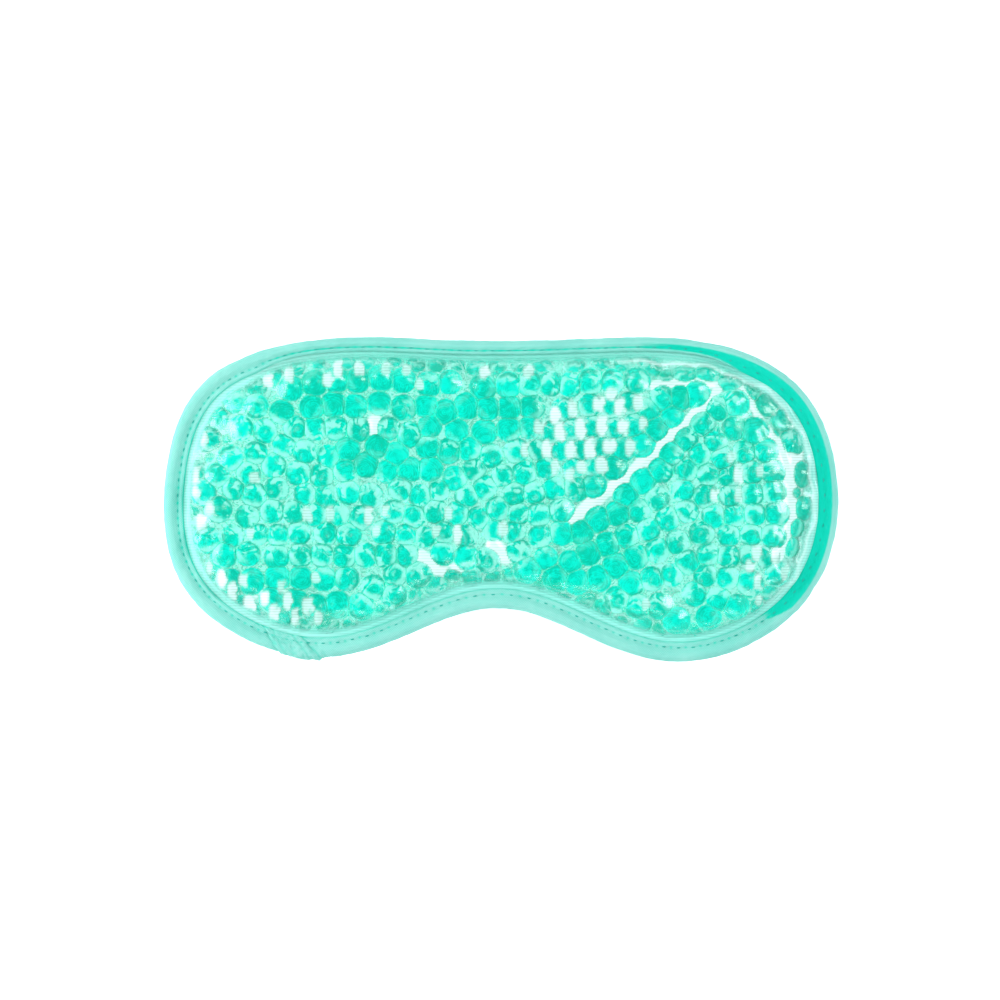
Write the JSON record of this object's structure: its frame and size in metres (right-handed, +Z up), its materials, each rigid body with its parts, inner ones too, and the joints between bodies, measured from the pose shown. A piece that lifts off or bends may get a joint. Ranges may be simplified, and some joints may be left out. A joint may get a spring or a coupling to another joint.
{
  "type": "eye pillow",
  "caption": "Kidney-shaped gel bead eye pillow: clear film pouch of teal gel beads on a soft fabric back, bound round its edge, folding each side of the nose bridge.",
  "frame": {"origin": "on the resting plane, under the middle of the outline", "axes": "+X along the length from the left lobe to the right lobe, +Y towards the straight forehead edge, +Z up out of the clear bead side"},
  "size_m": [0.2052, 0.0988, 0.012],
  "materials": {
    "backing_fabric": "soft brushed knit",
    "clear_film": "clear glossy soft vinyl film",
    "binding_tape": "matte woven binding",
    "gel_beads": "clear glossy water gel",
    "stitch_thread": "matte spun thread"
  },
  "bodies": {
    "bridge": {"back_film_bridge": "clear_film", "backing_fabric_bridge": "backing_fabric", "binding_bridge_notch": "binding_tape", "binding_bridge_top": "binding_tape", "bobbin_thread_bridge_notch": "stitch_thread", "bobbin_thread_bridge_top": "stitch_thread", "front_film_bridge": "clear_film", "gel_beads_bridge_row_02": "gel_beads", "gel_beads_bridge_row_03": "gel_beads", "gel_beads_bridge_row_04": "gel_beads", "gel_beads_bridge_row_05": "gel_beads", "gel_beads_bridge_row_06": "gel_beads", "gel_beads_bridge_row_07": "gel_beads", "gel_beads_bridge_row_08": "gel_beads", "gel_beads_bridge_row_09": "gel_beads", "gel_beads_bridge_row_10": "gel_beads", "needle_thread_bridge_notch": "stitch_thread", "needle_thread_bridge_top": "stitch_thread"},
    "left_lobe": {"back_film_left": "clear_film", "backing_fabric_left": "backing_fabric", "binding_left": "binding_tape", "bobbin_thread_left": "stitch_thread", "front_film_left": "clear_film", "gel_beads_left_row_01": "gel_beads", "gel_beads_left_row_02": "gel_beads", "gel_beads_left_row_03": "gel_beads", "gel_beads_left_row_04": "gel_beads", "gel_beads_left_row_05": "gel_beads", "gel_beads_left_row_06": "gel_beads", "gel_beads_left_row_07": "gel_beads", "gel_beads_left_row_08": "gel_beads", "gel_beads_left_row_09": "gel_beads", "gel_beads_left_row_10": "gel_beads", "gel_beads_left_row_11": "gel_beads", "gel_beads_left_row_12": "gel_beads", "needle_thread_left": "stitch_thread"},
    "right_lobe": {"back_film_right": "clear_film", "backing_fabric_right": "backing_fabric", "binding_right": "binding_tape", "bobbin_thread_right": "stitch_thread", "front_film_right": "clear_film", "gel_beads_right_row_01": "gel_beads", "gel_beads_right_row_02": "gel_beads", "gel_beads_right_row_03": "gel_beads", "gel_beads_right_row_04": "gel_beads", "gel_beads_right_row_05": "gel_beads", "gel_beads_right_row_06": "gel_beads", "gel_beads_right_row_07": "gel_beads", "gel_beads_right_row_08": "gel_beads", "gel_beads_right_row_09": "gel_beads", "gel_beads_right_row_10": "gel_beads", "gel_beads_right_row_11": "gel_beads", "gel_beads_right_row_12": "gel_beads", "gel_beads_right_row_13": "gel_beads", "needle_thread_right": "stitch_thread"}
  },
  "joints": [
    {"name": "left_fold", "type": "hinge", "parent": "bridge", "child": "left_lobe", "pos_m": [-0.015, 0, 0.0033], "axis": [0, 1, 0], "range_deg": [-25, 60]},
    {"name": "right_fold", "type": "hinge", "parent": "bridge", "child": "right_lobe", "pos_m": [0.015, 0, 0.0033], "axis": [0, -1, 0], "range_deg": [-25, 60]}
  ]
}
